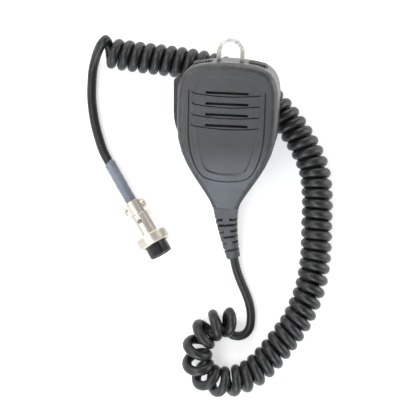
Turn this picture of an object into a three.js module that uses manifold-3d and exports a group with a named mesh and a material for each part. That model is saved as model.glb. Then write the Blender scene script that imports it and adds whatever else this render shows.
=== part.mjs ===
// A hand microphone for an amateur radio set: a two-shell head with a push-to-talk bar on its left
// side, two keys and a steel hanging loop on its top end, a curly cord and a round eight-way plug.
// Millimetres, +Z up. It lies on a table at z = 0 with its grille up, its neck towards -Y and its top
// end propped on its own curly cord.
import * as THREE from "three";
import { mergeVertices } from "three/addons/utils/BufferGeometryUtils.js";
import Module from "manifold-3d";

const wasm = await Module();
wasm.setup();

// ---- driving dimensions ----

const gap = 0.3; // air between two neighbouring pieces
const wall = 2.2; // thickness of the case

// Head, in its own frame: X right, Y from the neck to the top end, Z from the back to the grille.
const neckHalf = 7.3;
const bodyHalf = 27.5;
const headLength = 82.6;
const headDepth = 28;
const edgeRound = 3.6;
const parting = 13; // height of the seam between the two shells
const headPlace = new THREE.Vector3(2.7, -25.8, 1.1);
const headPitch = THREE.MathUtils.degToRad(15); // top end up
const headRoll = THREE.MathUtils.degToRad(-6.4); // right side up

const slotHalf = 11.75;
const slotHeight = 1.1;
const slotPitch = 6;
const topSlot = 66.4;
const slotCount = 4;
const louvreHalf = 18.7;

const loopHalf = 7.5;
const loopBand = 2.1;
const loopDepth = 4.4;
const loopTop = 94.7;
const loopHeight = 14; // middle of the band above the back of the case

const keyAway = 15.2; // middle of a key from the middle of the head
const keyRise = 81; // where the case's outline passes there
const keyLean = THREE.MathUtils.degToRad(11);
const keyHalf = 5.1;
const keyLow = 10;
const keyHigh = 18;
const keyProud = 1.1;

const pttPivot = { x: -23.6, y: 44 };
const pttLow = 6;
const pttHigh = 20;
const pinRadius = 0.8;
const plungerHeight = 13.6;
const plungerAlong = 63.5;
const plungerRadius = 0.8;

const boardLow = 8.5;
const boardHigh = 10.1;
const boardHalf = 18.5;
const boardStart = 25.4;
const boardEnd = 71.4;
const boardScrews = [
  { x: 12, y: 38 },
  { x: -12, y: 50 },
];
const caseScrews = [
  { x: 0, y: 75.4 },
  { x: 13.2, y: 20.8 },
  { x: -13.2, y: 20.8 },
];

const cableRadius = 2.8;
const cableHeight = 11.8; // cable's middle in the neck
const bootLength = 30.5;
const bootBend = 4.8; // sideways, at the boot's end
const bootDrop = 0.8; // towards the back, at the boot's end
const bootWideHalf = 7;
const bootEndHalf = 3.85;
const clampScrewAway = 5.6;
const wireCount = 5;

// Plug, in its own frame: Z from the cable's entry to the contacts, Y up.
const plugPlace = new THREE.Vector3(-53.2, -28.3, 7);
const plugHeading = THREE.MathUtils.degToRad(-58.5);
const plugPitch = THREE.MathUtils.degToRad(6);
const sleeveRadius = 3.4;
const sleeveLength = 26;
const barrelRadius = 6.15;
const barrelStart = 8.1;
const barrelEnd = 24.5;
const ringRadius = 9.2;
const ringStart = 21.7;
const ringEnd = 28.1;
const insertRadius = 6.5;
const insertEnd = 35.1;
const contactCircle = 4.3;
const contactCount = 8;

// Curly cord: the middle line of its coiled stretch, and the plain stretches at its two ends.
const coilRadius = 9;
const coilHeight = 9.05;
const coilRoute = [
  [5.4, -95], [-3, -97.5], [-9.8, -103.2], [-12.9, -111], [-12.4, -120.9], [-7.6, -127.3],
  [-1.3, -129.8], [5.4, -129.8], [12.5, -127.9], [19, -124.3], [28.3, -115.1], [35.6, -105.3],
  [42.5, -95.3], [47.7, -83.6], [51.2, -71.5], [53.1, -55.5], [53.2, -39], [53.2, -24.7],
  [52, -12.1], [49.9, -4.2], [44.7, 6.3], [38, 16.3], [29.7, 26], [20.7, 34], [12.8, 39.1],
  [5.8, 43.5], [-0.7, 46.6], [-13.9, 50.1], [-32.1, 52.4], [-47.5, 53.9], [-66.4, 55.9],
];
const leadRoute = [
  [6.4, -58.9, 4.1], [8.3, -66.2, 3], [11.1, -73.3, 2.9], [13.8, -79.2, 2.9], [15.9, -84.6, 2.9],
  [17.1, -90.2, 2.9], [17.3, -94.8, 2.9], [16.7, -99.2, 2.9], [14.7, -102.5, 2.9], [11.8, -104.1, 2.9],
];
const tailRoute = [
  [-68.9, 64.4, 9.5], [-70.2, 63, 12.6], [-72.3, 60.6, 12], [-74, 58, 9.6], [-75.6, 54.4, 6.8],
  [-76.9, 50.2, 4.7], [-77.7, 46.3, 3.4], [-78.1, 39.2, 2.9], [-78, 31.4, 2.9], [-77.1, 23.7, 2.9],
  [-75.6, 16, 2.9], [-73.4, 8.4, 2.95], [-70.4, 0.3, 3.5], [-67, -5.7, 4.2],
];

// ---- finishes ----

const caseBlack = { color: 0x3c3e3f, roughness: 0.5, metalness: 0 };
const keyBlack = { color: 0x2b2c2d, roughness: 0.45, metalness: 0 };
const rubberBlack = { color: 0x333435, roughness: 0.7, metalness: 0 };
const cordBlack = { color: 0x2a2b2c, roughness: 0.55, metalness: 0 };
const steel = { color: 0xc3c1be, roughness: 0.4, metalness: 1 };
const nickel = { color: 0xded6cc, roughness: 0.22, metalness: 1 };
const screwSteel = { color: 0x8a8a8c, roughness: 0.35, metalness: 1 };
const boardGreen = { color: 0x1f5a3a, roughness: 0.5, metalness: 0 };
const switchBlack = { color: 0x1c1c1e, roughness: 0.5, metalness: 0 };
const headerWhite = { color: 0xe6e2d4, roughness: 0.6, metalness: 0 };
const clothBlack = { color: 0x17181a, roughness: 0.95, metalness: 0 };
const capsuleSilver = { color: 0xb4b6b8, roughness: 0.35, metalness: 1 };
const sleeveGrey = { color: 0x879099, roughness: 0.45, metalness: 0 };
const gold = { color: 0xc9a24a, roughness: 0.3, metalness: 1 };
const wireColours = [0xb03028, 0xd8d4c8, 0x2f7a45, 0x2c56a0, 0xc9b23a];

// ---- solids ----

// A closed geometry as a solid that can be cut and joined.
function solidOf(shape) {
  if (!shape.isBufferGeometry) return shape;
  const bare = shape.clone();
  bare.deleteAttribute("normal");
  bare.deleteAttribute("uv");
  const merged = mergeVertices(bare, 1e-4);
  return new wasm.Manifold(
    new wasm.Mesh({
      numProp: 3,
      vertProperties: new Float32Array(merged.attributes.position.array),
      triVerts: new Uint32Array(merged.index.array),
    }),
  );
}

function geometryOf(solid) {
  const mesh = solid.getMesh();
  const geometry = new THREE.BufferGeometry();
  geometry.setAttribute("position", new THREE.BufferAttribute(mesh.vertProperties, 3));
  geometry.setIndex(new THREE.BufferAttribute(mesh.triVerts, 1));
  geometry.computeVertexNormals();
  return geometry;
}

const join = (...shapes) => shapes.map(solidOf).reduce((sum, next) => sum.add(next));
const cut = (...shapes) => shapes.map(solidOf).reduce((rest, tool) => rest.subtract(tool));
const common = (...shapes) => shapes.map(solidOf).reduce((all, next) => all.intersect(next));

function block(x0, x1, y0, y1, z0, z1) {
  const geometry = new THREE.BoxGeometry(x1 - x0, y1 - y0, z1 - z0);
  return geometry.translate((x0 + x1) / 2, (y0 + y1) / 2, (z0 + z1) / 2);
}

// Round rods along Z, X and Y.
function rod(radius, x, y, z0, z1, sides = 20) {
  const geometry = new THREE.CylinderGeometry(radius, radius, z1 - z0, sides);
  return geometry.rotateX(Math.PI / 2).translate(x, y, (z0 + z1) / 2);
}

function rodAlongX(radius, y, z, x0, x1, sides = 16) {
  const geometry = new THREE.CylinderGeometry(radius, radius, x1 - x0, sides);
  return geometry.rotateZ(Math.PI / 2).translate((x0 + x1) / 2, y, z);
}

function rodAlongY(radius, x, z, y0, y1, sides = 20) {
  return new THREE.CylinderGeometry(radius, radius, y1 - y0, sides).translate(x, (y0 + y1) / 2, z);
}

// A flat outline given thickness along Z, its two rims rounded.
function plate(shape, z0, z1, round, roundSteps = 2, curveSteps = 6) {
  const geometry = new THREE.ExtrudeGeometry(shape, {
    depth: z1 - z0 - 2 * round,
    bevelEnabled: round > 0,
    bevelThickness: round,
    bevelSize: round,
    bevelOffset: -round,
    bevelSegments: roundSteps,
    curveSegments: curveSteps,
  });
  return geometry.translate(0, 0, z0 + round);
}

// A round profile of [radius, z] points turned about Z; it starts and ends on the axis or closes.
function turned(profile, sides = 32) {
  const points = profile.map(([radius, z]) => new THREE.Vector2(radius, z));
  return new THREE.LatheGeometry(points, sides).rotateX(Math.PI / 2);
}

function circleShape(radius, sides) {
  const points = [];
  for (let i = 0; i < sides; i += 1) {
    const turn = (2 * Math.PI * i) / sides;
    points.push(new THREE.Vector2(radius * Math.cos(turn), radius * Math.sin(turn)));
  }
  return new THREE.Shape(points);
}

function tube(curve, radius, sides, steps) {
  return new THREE.ExtrudeGeometry(circleShape(radius, sides), {
    steps,
    bevelEnabled: false,
    extrudePath: curve,
  });
}

const throughPoints = (points) =>
  new THREE.CatmullRomCurve3(points.map((point) => new THREE.Vector3(...point)));

// Rings of points, all of one length, skinned one after the other and closed at both ends.
function loft(rings) {
  const sides = rings[0].length;
  const middle = (ring) => {
    const sum = ring.reduce((total, point) => total.add(point), new THREE.Vector3());
    return sum.divideScalar(sides);
  };
  const points = [...rings.flat(), middle(rings[0]), middle(rings.at(-1))];
  const index = [];
  const last = (rings.length - 1) * sides;
  for (let i = 0; i < sides; i += 1) {
    const next = (i + 1) % sides;
    for (let start = 0; start < last; start += sides) {
      index.push(start + i, start + next, start + sides + next);
      index.push(start + i, start + sides + next, start + sides + i);
    }
    index.push(points.length - 2, next, i);
    index.push(points.length - 1, last + i, last + next);
  }
  return new THREE.BufferGeometry().setFromPoints(points).setIndex(index);
}

// A counter-clockwise outline moved inwards.
function inset(points, distance) {
  const count = points.length;
  const inward = (from, to) => new THREE.Vector2(from.y - to.y, to.x - from.x).normalize();
  return points.map((point, i) => {
    const before = inward(points[(i + count - 1) % count], point);
    const after = inward(point, points[(i + 1) % count]);
    const middle = before.clone().add(after).normalize();
    return point.clone().addScaledVector(middle, distance / middle.dot(before));
  });
}

function mirrored(half) {
  const other = half.filter((point) => point.x > 1e-6);
  return [...half, ...other.reverse().map((point) => new THREE.Vector2(-point.x, point.y))];
}

// ---- assembly ----

const microphone = new THREE.Group();
const head = new THREE.Group();
const plug = new THREE.Group();
microphone.add(head, plug);
head.position.copy(headPlace);
head.rotation.set(headPitch, headRoll, 0, "XYZ");
plug.position.copy(plugPlace);
plug.up.set(0, 0, 1);
plug.lookAt(
  plugPlace.x + Math.cos(plugPitch) * Math.cos(plugHeading),
  plugPlace.y + Math.cos(plugPitch) * Math.sin(plugHeading),
  plugPlace.z + Math.sin(plugPitch),
);

function add(parent, name, shape, finish) {
  const geometry = shape.isBufferGeometry ? shape : geometryOf(shape);
  const mesh = new THREE.Mesh(geometry, new THREE.MeshStandardMaterial(finish));
  mesh.name = name;
  parent.add(mesh);
}

// ---- case ----

const caseOutline = new THREE.Shape();
caseOutline.moveTo(0, 0);
caseOutline.lineTo(neckHalf, 0);
caseOutline.bezierCurveTo(10, 10, bodyHalf + 0.4, 26, bodyHalf, 48);
caseOutline.lineTo(bodyHalf, 64);
caseOutline.bezierCurveTo(bodyHalf, 73, 24.5, 79.2, 16, 81);
caseOutline.quadraticCurveTo(8, headLength, 0, headLength);
const casePoints = mirrored(caseOutline.getPoints(7));

// The same case from the side, as [y, z]: thinner at the neck.
const caseSide = new THREE.Shape();
caseSide.moveTo(-1, 5.2);
caseSide.lineTo(14, 0);
caseSide.lineTo(headLength + 5, 0);
caseSide.lineTo(headLength + 5, headDepth);
caseSide.lineTo(40, headDepth);
caseSide.bezierCurveTo(24, headDepth, 14, 22.5, -1, 19);
const sidePoints = caseSide.getPoints(6);

// The case's outer form, shrunk by a depth all round.
function caseForm(depth) {
  const round = Math.max(edgeRound - depth, 1);
  const plan = plate(new THREE.Shape(inset(casePoints, depth)), depth, headDepth - depth, round, 3);
  const side = new THREE.ExtrudeGeometry(new THREE.Shape(inset(sidePoints, depth)), {
    depth: 4 * bodyHalf,
    bevelEnabled: false,
  });
  side.translate(0, 0, -2 * bodyHalf);
  const turn = new THREE.Matrix4().makeBasis(
    new THREE.Vector3(0, 1, 0),
    new THREE.Vector3(0, 0, 1),
    new THREE.Vector3(1, 0, 0),
  );
  return common(plan, side.applyMatrix4(turn));
}

const keyMatrix = (side) =>
  new THREE.Matrix4()
    .makeTranslation(side * keyAway, keyRise, 0)
    .multiply(new THREE.Matrix4().makeRotationZ(-side * keyLean));

const hollowCase = cut(caseForm(0), caseForm(wall));

const pttOpening = block(-40, -20.5, 41.4, 73.6, pttLow - 0.35, pttHigh + 0.35);
const keyOpening = (side) =>
  block(-keyHalf - 0.35, keyHalf + 0.35, -3.4, 4, keyLow - 0.35, keyHigh + 0.35).applyMatrix4(
    keyMatrix(side),
  );
const loopOpening = (side) => {
  const middle = side * (loopHalf - loopBand / 2);
  const half = loopBand / 2 + gap;
  const depthHalf = loopDepth / 2 + gap;
  return block(
    middle - half, middle + half, 79, 85, loopHeight - depthHalf, loopHeight + depthHalf,
  );
};
const neckOpening = rodAlongY(4.2, 0, cableHeight, -1, 3.2);
const openings = [
  pttOpening, keyOpening(1), keyOpening(-1), loopOpening(1), loopOpening(-1), neckOpening,
];

// ---- front shell: grille, shield line, screw bosses, lug for the bar's pin ----

const shieldLine = new THREE.Shape();
shieldLine.moveTo(0, 16.4);
shieldLine.quadraticCurveTo(8, 16.6, 12, 18.7);
shieldLine.bezierCurveTo(17.4, 22, 20.8, 36, 20.8, 46);
shieldLine.lineTo(20.8, 70);
shieldLine.quadraticCurveTo(20.6, 77, 13, 77.8);
shieldLine.lineTo(0, 78.2);
const shieldPoints = mirrored(shieldLine.getPoints(6));

function shieldGroove() {
  const outer = plate(new THREE.Shape(shieldPoints), 15, 30, 0);
  const inner = plate(new THREE.Shape(inset(shieldPoints, 0.7)), 14, 31, 0);
  return cut(outer, inner, caseForm(0.5));
}

const frontInside = caseForm(1);
const frontTools = [block(-40, 40, -40, 120, -10, parting + gap / 2), shieldGroove()];
for (let i = 0; i < slotCount; i += 1) {
  const y = topSlot - i * slotPitch;
  frontTools.push(block(-slotHalf, slotHalf, y - slotHeight / 2, y + slotHeight / 2, 24, 30));
  frontTools.push(block(-louvreHalf, louvreHalf, y - 2, y - 1.5, headDepth - 0.4, 30));
}
let frontShell = cut(hollowCase, ...frontTools);
for (const { x, y } of caseScrews) {
  frontShell = join(frontShell, common(rod(2.7, x, y, parting + gap / 2, 26), frontInside));
  frontShell = cut(frontShell, rod(1.45, x, y, 12, 20.6));
}
const frontLug = block(-26, -21.2, 41.6, 46.4, pttHigh + 0.35, 26.5);
frontShell = join(frontShell, frontLug);
frontShell = cut(
  frontShell, rod(pinRadius + gap, pttPivot.x, pttPivot.y, pttHigh, pttHigh + 1.9), ...openings,
);
add(head, "front_shell", frontShell, caseBlack);

// ---- rear shell: bosses, stand-offs, cable rest, lug for the bar's pin ----

let rearShell = cut(hollowCase, block(-40, 40, -40, 120, parting - gap / 2, 40));
rearShell = join(rearShell, block(-8, 8, 9, 13, 2.5, 11.4));
rearShell = cut(rearShell, rodAlongY(cableRadius + gap, 0, cableHeight, 8, 14));
for (const side of [-1, 1]) {
  rearShell = cut(rearShell, rod(1.15, side * clampScrewAway, 11, 5, 12));
}
for (const { x, y } of caseScrews) {
  rearShell = join(rearShell, rod(3.6, x, y, 1, parting - gap / 2));
  rearShell = cut(rearShell, rod(1.45, x, y, 2, 14), rod(2.85, x, y, -1, 3.3));
}
for (const { x, y } of boardScrews) {
  rearShell = join(rearShell, rod(2.2, x, y, 1, boardLow - gap));
  rearShell = cut(rearShell, rod(1.15, x, y, 3.4, 9));
}
rearShell = join(rearShell, block(-26, -21.2, 41.6, 46.4, 1.5, pttLow - 0.35));
rearShell = cut(
  rearShell, rod(pinRadius + gap, pttPivot.x, pttPivot.y, pttLow - 1.8, pttLow), ...openings,
);
add(head, "rear_shell", rearShell, caseBlack);

for (const [i, { x, y }] of caseScrews.entries()) {
  const screw = join(rod(2.5, x, y, 1.2, 3), rod(1.15, x, y, 2.9, 20, 12));
  add(head, `case_screw_${i + 1}`, screw, screwSteel);
}

// ---- hanging loop: a flat steel band, its two feet turned out behind the top wall ----

function loopOutline() {
  const inner = loopHalf - loopBand;
  const middle = loopTop - loopHalf;
  const shape = new THREE.Shape();
  shape.moveTo(loopHalf + 0.9, 77.4);
  shape.lineTo(loopHalf + 0.9, 78.8);
  shape.lineTo(loopHalf, 78.8);
  shape.absarc(0, middle, loopHalf, 0, Math.PI, false);
  shape.lineTo(-loopHalf, 78.8);
  shape.lineTo(-loopHalf - 0.9, 78.8);
  shape.lineTo(-loopHalf - 0.9, 77.4);
  shape.lineTo(-inner, 77.4);
  shape.absarc(0, middle, inner, Math.PI, 0, true);
  shape.lineTo(inner, 77.4);
  return shape;
}
const loopBack = loopHeight - loopDepth / 2;
add(head, "hanger_loop", plate(loopOutline(), loopBack, loopBack + loopDepth, 0.5, 1, 14), steel);

// ---- push-to-talk bar on its pin, with the switch that it presses ----

function pttBar() {
  const shape = new THREE.Shape();
  shape.moveTo(-25.4, 42.4);
  shape.lineTo(-25.4, 72.4);
  shape.lineTo(-29.2, 72.4);
  shape.lineTo(-30.4, 70.6);
  shape.lineTo(-30.2, 54);
  shape.quadraticCurveTo(-29.9, 47, -27.8, 43);
  const bar = plate(shape, pttLow, pttHigh, 0.5, 2, 5);
  const hub = rod(2.1, pttPivot.x, pttPivot.y, pttLow + 0.2, pttHigh - 0.2);
  const web = block(-26, pttPivot.x, 42.8, 45.2, pttLow + 0.6, pttHigh - 0.6);
  const rib = block(-26, -24.2, plungerAlong - 1.5, plungerAlong + 1.5, 11, 16);
  const bore = rod(pinRadius + gap, pttPivot.x, pttPivot.y, pttLow - 1, pttHigh + 1, 16);
  return cut(join(bar, hub, web, rib), bore);
}
add(head, "ptt_bar", pttBar(), keyBlack);
const pttPin = rod(pinRadius, pttPivot.x, pttPivot.y, pttLow - 1.5, pttHigh + 1.6, 12);
add(head, "ptt_pivot_pin", pttPin, screwSteel);

const pttSwitch = cut(
  block(-21.2, -14.6, 55, 68, boardHigh + gap, 16.8),
  rodAlongX(plungerRadius + gap, plungerAlong, plungerHeight, -22, -17.2),
);
add(head, "ptt_switch", pttSwitch, switchBlack);
const plunger = rodAlongX(plungerRadius, plungerAlong, plungerHeight, -23.9, -19.4, 12);
add(head, "ptt_switch_plunger", plunger, headerWhite);

// ---- up and down keys, each with a stem over its own switch ----

function keyCap() {
  const top = new THREE.Shape();
  top.moveTo(-keyHalf, -keyHigh);
  top.lineTo(keyHalf, -keyHigh);
  top.lineTo(keyHalf, -keyLow);
  top.lineTo(-keyHalf, -keyLow);
  const cap = plate(top, -5, keyProud, 0.6).rotateX(-Math.PI / 2);
  const flange = block(-keyHalf - 0.8, keyHalf + 0.8, -5.2, -4, keyLow - 0.7, keyHigh + 0.7);
  return join(cap, flange);
}

for (const [name, side] of [["up", -1], ["down", 1]]) {
  const station = new THREE.Group();
  station.position.set(side * keyAway, keyRise, 0);
  station.rotation.z = -side * keyLean;
  head.add(station);
  const height = 13.4;
  add(station, `${name}_key`, keyCap(), keyBlack);
  add(station, `${name}_key_stem`, rodAlongY(1.15, 0, height, -8, -5.5, 12), headerWhite);
  const body = block(-3, 3, -11, -7.4, boardHigh + gap, 16.4);
  const well = rodAlongY(1.5, 0, height, -9.2, -7, 12);
  add(station, `${name}_key_switch`, cut(body, well), switchBlack);
}

// ---- circuit board, microphone capsule and cloth ----

let board = solidOf(block(-boardHalf, boardHalf, boardStart, boardEnd, boardLow, boardHigh));
for (const { x, y } of boardScrews) {
  board = cut(board, rod(1.2, x, y, 8, 11));
}
add(head, "circuit_board", board, boardGreen);
for (const [i, { x, y }] of boardScrews.entries()) {
  const screw = join(
    rod(1.8, x, y, boardHigh + gap, boardHigh + 1.5), rod(0.85, x, y, 3.8, boardHigh + 0.5, 12),
  );
  add(head, `board_screw_${i + 1}`, screw, screwSteel);
}

const capsuleY = topSlot - 1.5 * slotPitch;
const capsuleHolder = cut(
  rod(8, 0, capsuleY, boardHigh + gap, 24.7, 28), rod(5.15, 0, capsuleY, 17.2, 26, 28),
);
add(head, "capsule_holder", capsuleHolder, rubberBlack);
add(head, "microphone_capsule", rod(4.85, 0, capsuleY, 17.5, 24.2, 28), capsuleSilver);
add(head, "grille_cloth", block(-14, 14, capsuleY - 12.5, capsuleY + 12.5, 25, 25.5), clothBlack);

// ---- cord's end in the neck: cable, clamp, wires and header ----

// The cable's middle line inside the boot and the neck, from the boot's end inwards.
const bootMiddle = (along) =>
  new THREE.Vector3(
    bootBend * along ** 1.8, -gap - bootLength * along, cableHeight - bootDrop * along,
  );
const innerRoute = [1, 0.75, 0.5, 0.25, 0].map((along) => bootMiddle(along).toArray());
innerRoute.push([0, 7, cableHeight], [0, 15, cableHeight]);
add(head, "cable_end", tube(throughPoints(innerRoute), cableRadius, 12, 14), cordBlack);

let cableClamp = cut(
  block(-8, 8, 9, 13, 12.1, 16.2), rodAlongY(cableRadius + gap, 0, cableHeight, 8, 14),
);
for (const side of [-1, 1]) {
  cableClamp = cut(cableClamp, rod(1.15, side * clampScrewAway, 11, 11, 17));
}
add(head, "cable_clamp", cableClamp, screwSteel);
for (const [i, side] of [-1, 1].entries()) {
  const x = side * clampScrewAway;
  add(head, `clamp_screw_${i + 1}`, join(rod(1.7, x, 11, 16.5, 17.8), rod(0.85, x, 11, 5.4, 16.6, 12)),
    screwSteel);
}

add(head, "wire_header", block(-6.5, 6.5, 26.4, 31.4, boardHigh + gap, 14.8), headerWhite);
for (let i = 0; i < wireCount; i += 1) {
  const away = i - (wireCount - 1) / 2;
  const route = [
    [away * 1.15, 15.3, cableHeight], [away * 1.4, 18.5, cableHeight + 0.8],
    [away * 2.2, 23, cableHeight + 1.4], [away * 2.3, 26.1, cableHeight + 1.2],
  ];
  const finish = { color: wireColours[i], roughness: 0.5, metalness: 0 };
  add(head, `wire_${i + 1}`, tube(throughPoints(route), 0.45, 8, 8), finish);
}

// ---- boot: a tapering rubber strain relief, cut nearly to the cable by a row of grooves ----

function bootRing(along) {
  const half = bootWideHalf + (bootEndHalf - bootWideHalf) * along;
  const power = 2 / (4 - 1.8 * along); // square with round corners at the neck, round at the end
  const middle = bootMiddle(along);
  const ring = [];
  const sides = 20;
  for (let i = 0; i < sides; i += 1) {
    const turn = (2 * Math.PI * i) / sides;
    const x = Math.sign(Math.cos(turn)) * Math.abs(Math.cos(turn)) ** power;
    const z = Math.sign(Math.sin(turn)) * Math.abs(Math.sin(turn)) ** power;
    ring.push(new THREE.Vector3(middle.x + half * x, middle.y, middle.z + half * z));
  }
  return ring;
}

// A groove all round down to the core; a bridged one leaves a web front and back.
function bootGroove(distance, bridged) {
  const middle = bootMiddle(distance / bootLength);
  const width = 0.55;
  const y = middle.y;
  const slab = block(middle.x - 9, middle.x + 9, y - width, y + width, 2, 22);
  const core = rodAlongY(3.75, middle.x, middle.z, y - 1, y + 1, 12);
  const groove = cut(slab, core);
  const web = block(middle.x - 1.8, middle.x + 1.8, y - 1, y + 1, 1, 23);
  return bridged ? cut(groove, web) : groove;
}

function cordBoot() {
  let boot = solidOf(loft([0, 0.17, 0.33, 0.5, 0.67, 0.83, 1].map(bootRing)));
  [6.9, 10.3, 14.1, 17.4, 20.9, 25.4].forEach((distance, i) => {
    boot = cut(boot, bootGroove(distance, i % 2 === 0));
  });
  const spigot = rodAlongY(3.9, 0, cableHeight, -1.5, 3, 20);
  const flange = rodAlongY(4.9, 0, cableHeight, 2.6, 4.4, 20);
  const outerRoute = [[bootBend + 0.6, -bootLength - 3, cableHeight - bootDrop], ...innerRoute];
  return cut(join(boot, spigot, flange), tube(throughPoints(outerRoute), cableRadius + gap, 12, 16));
}
add(head, "cord_boot", cordBoot(), rubberBlack);

// ---- cord: plain lead, coiled stretch as one tube of its outer size, plain tail ----

const coilMiddle = throughPoints(coilRoute.map(([x, y]) => [x, y, coilHeight]));
add(microphone, "cord_lead", tube(throughPoints(leadRoute), cableRadius, 10, 16), cordBlack);
add(microphone, "cord_coil", tube(coilMiddle, coilRadius, 12, 44), cordBlack);
add(microphone, "cord_tail", tube(throughPoints(tailRoute), cableRadius, 10, 16), cordBlack);

// ---- plug ----

add(plug, "cord_sleeve", rod(sleeveRadius, 0, 0, -sleeveLength, 6, 20), sleeveGrey);

// The cable saddle's two halves: the lower one is part of the barrel, the upper one is screwed down.
const saddleBore = rod(sleeveRadius + gap + 0.1, 0, 0, -1, 9.7, 20);
const saddleForm = join(rod(4.6, 0, 0, 0.4, barrelStart + 0.4), block(-6.9, 6.9, -2, 2, 1.4, 6.4));
const earScrews = [-1, 1].map((side) => ({ x: side * 5.6, z: 3.9 }));
const earHole = ({ x, z }) => rodAlongY(1.1, x, z, -3, 3, 12);

const barrelBody = turned([
  [4.2, barrelStart], [barrelRadius - 0.5, barrelStart], [barrelRadius, barrelStart + 0.5],
  [barrelRadius, barrelEnd], [5, barrelEnd], [5, barrelStart + 1.5], [4.2, barrelStart + 1.5],
  [4.2, barrelStart],
]);
const lowerHalf = cut(saddleForm, saddleBore, block(-9, 9, -0.2, 9, -1, 12), ...earScrews.map(earHole));
const setScrewPlace = 13.1;
const barrel = cut(join(barrelBody, lowerHalf), rodAlongY(1.3, -1.2, setScrewPlace, 4, 8, 16));
add(plug, "plug_barrel", barrel, nickel);

const upperHalf = cut(
  saddleForm, saddleBore, block(-9, 9, -9, 0.2, -1, 12), block(-9, 9, -9, 9, barrelStart - 0.4, 12),
  ...earScrews.map(earHole),
);
add(plug, "cable_saddle", upperHalf, nickel);
for (const [i, { x, z }] of earScrews.entries()) {
  const screw = join(rodAlongY(1.3, x, z, 2.3, 3.4, 16), rodAlongY(0.8, x, z, -1.9, 2.4, 12));
  add(plug, `saddle_screw_${i + 1}`, screw, nickel);
}
add(plug, "barrel_screw", rodAlongY(1, -1.2, setScrewPlace, 5, 5.9, 12), screwSteel);

const ringBore = 7.7;
const lipBore = barrelRadius + gap;
const couplingRing = turned([
  [lipBore, ringStart], [ringRadius - 0.6, ringStart], [ringRadius, ringStart + 0.6],
  [ringRadius, ringEnd - 0.6], [ringRadius - 0.6, ringEnd], [ringBore, ringEnd],
  [ringBore, ringStart + 1.5], [lipBore, ringStart + 1.5], [lipBore, ringStart],
], 40);
add(plug, "coupling_ring", couplingRing, nickel);
const clipStart = ringStart + 1.5 + gap;
const ringClip = cut(
  rod(7.35, 0, 0, clipStart, clipStart + 0.8, 32), rod(lipBore, 0, 0, clipStart - 1, 27, 32),
  block(-1, 1, -9, 0, clipStart - 1, 27),
);
add(plug, "ring_clip", ringClip, screwSteel);

function plugInsert() {
  let insert = solidOf(turned([
    [0, 11.5], [4.7, 11.5], [4.7, barrelEnd + gap], [barrelRadius, barrelEnd + gap],
    [barrelRadius, 26.9], [7.2, 26.9], [7.2, 27.9], [insertRadius, 27.9],
    [insertRadius, insertEnd - 0.4], [insertRadius - 0.4, insertEnd], [0, insertEnd],
  ]));
  insert = cut(insert, block(-3.4, 0.2, 6.1, 8, 28.2, 36), block(1.4, 3.4, 5, 8, 28.2, 36));
  insert = cut(insert, rodAlongY(1.3, -1.2, setScrewPlace, 4.2, 6, 12));
  for (const [x, y] of contactPlaces) {
    insert = cut(insert, rod(1.2, x, y, insertEnd - 9, insertEnd + 1, 12));
  }
  return insert;
}

// Seven contacts on a circle and one in the middle.
const contactPlaces = [[0, 0]];
for (let i = 0; i < contactCount - 1; i += 1) {
  const turn = (2 * Math.PI * (i + 0.5)) / (contactCount - 1) - Math.PI / 2;
  contactPlaces.push([contactCircle * Math.cos(turn), contactCircle * Math.sin(turn)]);
}
add(plug, "plug_insert", plugInsert(), switchBlack);
for (const [i, [x, y]] of contactPlaces.entries()) {
  const socket = cut(
    rod(0.9, x, y, insertEnd - 8.5, insertEnd - 0.6, 10), rod(0.5, x, y, insertEnd - 5, 36, 8),
  );
  add(plug, `contact_${i + 1}`, socket, gold);
}

// The origin stands on the table, under the middle of the head with its boot and loop.
microphone.position.y = -1.5;

export default microphone;
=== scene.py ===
import math
import bmesh
import bpy
from mathutils import Matrix, Vector
from mathutils.geometry import interpolate_bezier


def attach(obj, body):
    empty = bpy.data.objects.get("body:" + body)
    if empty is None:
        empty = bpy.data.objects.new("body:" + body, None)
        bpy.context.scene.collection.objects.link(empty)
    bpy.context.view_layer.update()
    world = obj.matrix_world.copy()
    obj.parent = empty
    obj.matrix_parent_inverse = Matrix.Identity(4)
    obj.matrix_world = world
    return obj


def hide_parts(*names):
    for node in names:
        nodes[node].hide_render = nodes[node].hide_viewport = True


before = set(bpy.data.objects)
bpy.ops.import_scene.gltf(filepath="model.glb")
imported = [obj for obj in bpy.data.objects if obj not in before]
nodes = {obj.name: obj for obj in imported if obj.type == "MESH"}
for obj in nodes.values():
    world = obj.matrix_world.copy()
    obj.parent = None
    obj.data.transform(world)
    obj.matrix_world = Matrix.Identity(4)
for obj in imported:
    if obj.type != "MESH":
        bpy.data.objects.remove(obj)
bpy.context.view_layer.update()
millimetre = 0.001
bpy.context.scene.view_settings.view_transform = "Standard"

# Pieces are modelled in millimetres, the head's in the head's own frame and the plug's in the plug's
# own frame, and then set in place in metres.
headPlace = (Matrix.Translation((0.0027, -0.0273, 0.0011))
             @ Matrix.Rotation(math.radians(15), 4, "X")
             @ Matrix.Rotation(math.radians(-6.4), 4, "Y")
             @ Matrix.Scale(millimetre, 4))
plugPlace = Matrix(((0.85264, -0.05462, 0.51964, -0.0532),
                    (0.5225, 0.08913, -0.84797, -0.0298),
                    (0, 0.99452, 0.10453, 0.007),
                    (0, 0, 0, 1))) @ Matrix.Scale(millimetre, 4)


# The camera looks straight down on the table.
cameraView = {"place": (-0.008, -0.0335, 0.65), "turn": 1.52, "lens": 96.06}
bpy.ops.object.camera_add(location=cameraView["place"],
                          rotation=(0, 0, math.radians(cameraView["turn"])))
camera = bpy.context.object
camera.data.lens = cameraView["lens"]
camera.data.sensor_width = 36
bpy.context.scene.camera = camera
print("camera set")


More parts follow.
